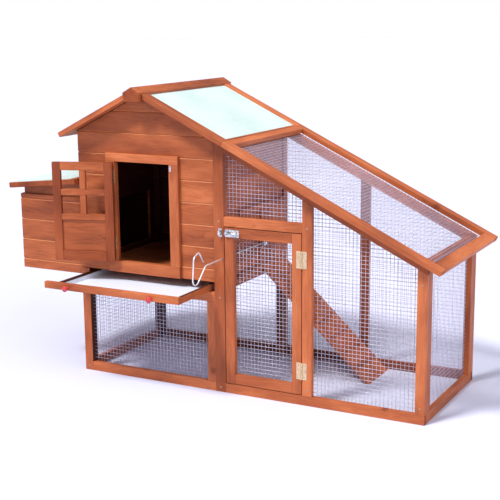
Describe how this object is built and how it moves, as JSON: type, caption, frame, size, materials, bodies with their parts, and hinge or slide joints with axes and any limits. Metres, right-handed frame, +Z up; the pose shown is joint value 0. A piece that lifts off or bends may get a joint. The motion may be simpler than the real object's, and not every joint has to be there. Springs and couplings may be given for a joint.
{
  "type": "chicken coop",
  "caption": "Timber chicken coop: raised boarded house with nest box, open door and pull-out tray, beside a framed wire-mesh run under one pitched roof.",
  "frame": {"origin": "on the floor, under the middle of everything that shows (open door and pulled-out tray included)", "axes": "+X to the right seen from the front (towards the run), +Y towards the back, +Z up"},
  "size_m": [1.91, 0.9096, 1.19],
  "materials": {
    "stained_wood": "satin",
    "galvanised_wire": "satin",
    "pale_felt": "matte",
    "galvanised_sheet": "satin",
    "red_knob": "gloss",
    "brass_plate": "satin",
    "zinc_steel": "satin"
  },
  "bodies": {
    "coop": {"back_posts": "stained_wood", "bolt_keeper": "zinc_steel", "frame_screws": "zinc_steel", "front_left_post": "stained_wood", "front_middle_post": "stained_wood", "house_back_boards": "stained_wood", "house_door_hinge_fixed_leaves": "brass_plate", "house_door_trim": "stained_wood", "house_floor": "stained_wood", "house_front_boards": "stained_wood", "house_left_boards": "stained_wood", "house_right_boards": "stained_wood", "nest_box_boards": "stained_wood", "nest_floor": "stained_wood", "nest_lid_hinge_wall_leaves": "brass_plate", "nest_top_rails": "stained_wood", "pop_door_runners": "stained_wood", "ramp_board": "stained_wood", "ramp_cleats": "stained_wood", "ridge_beam": "stained_wood", "roof_boards": "stained_wood", "roof_felt": "pale_felt", "roof_left_frame": "stained_wood", "roof_mesh": "galvanised_wire", "roof_mesh_frame": "stained_wood", "roof_right_frame": "stained_wood", "run_back_frame": "stained_wood", "run_back_mesh": "galvanised_wire", "run_back_top_rail": "stained_wood", "run_door_hinge_post_leaves": "brass_plate", "run_end_frame": "stained_wood", "run_end_mesh": "galvanised_wire", "run_front_mesh": "galvanised_wire", "run_front_posts": "stained_wood", "run_front_rails": "stained_wood", "run_front_top_rail": "stained_wood", "tray_runners": "stained_wood", "under_back_rails": "stained_wood", "under_front_frame": "stained_wood", "under_front_mesh": "galvanised_wire", "under_left_and_back_mesh": "galvanised_wire", "under_left_rails": "stained_wood"},
    "tray": {"tray_frame": "stained_wood", "tray_sheet": "galvanised_sheet", "tray_knobs": "red_knob"},
    "house_door": {"house_door_frame": "stained_wood", "house_door_panel": "stained_wood", "house_door_hinge_door_leaves": "brass_plate"},
    "door_button": {"house_door_button": "zinc_steel"},
    "run_door": {"run_door_frame": "stained_wood", "run_door_mesh": "galvanised_wire", "run_door_hinge_door_leaves": "brass_plate", "bolt_barrel": "zinc_steel"},
    "bolt": {"bolt_rod": "zinc_steel"},
    "nest_lid": {"nest_lid": "stained_wood", "nest_lid_felt": "pale_felt", "nest_lid_hinge_lid_leaves": "brass_plate"},
    "pop_door": {"pop_door": "stained_wood", "pull_rod": "zinc_steel", "pull_rod_bracket": "zinc_steel"}
  },
  "joints": [
    {"name": "tray_slide", "type": "slide", "parent": "coop", "child": "tray", "axis": [0, -1, 0], "range_m": [-0.209, 0.2]},
    {"name": "house_door_hinge", "type": "hinge", "parent": "coop", "child": "house_door", "pos_m": [-0.424, -0.21475, 0.689], "axis": [0, 0, -1], "range_deg": [-162, 8]},
    {"name": "house_door_button_turn", "type": "hinge", "parent": "coop", "child": "door_button", "pos_m": [-0.162, -0.21275, 0.876], "axis": [0, 1, 0], "range_deg": [0, 90]},
    {"name": "run_door_hinge", "type": "hinge", "parent": "coop", "child": "run_door", "pos_m": [0.3965, -0.20675, 0.352], "axis": [0, 0, 1], "range_deg": [0, 160]},
    {"name": "bolt_slide", "type": "slide", "parent": "run_door", "child": "bolt", "axis": [-1, 0, 0], "range_m": [0, 0.028]},
    {"name": "nest_lid_hinge", "type": "hinge", "parent": "coop", "child": "nest_lid", "pos_m": [-0.6125, 0.08775, 0.81391], "axis": [0, 1, 0], "range_deg": [0, 70]},
    {"name": "pop_door_slide", "type": "slide", "parent": "coop", "child": "pop_door", "axis": [0, -1, 0], "range_m": [0, 0.19]}
  ]
}
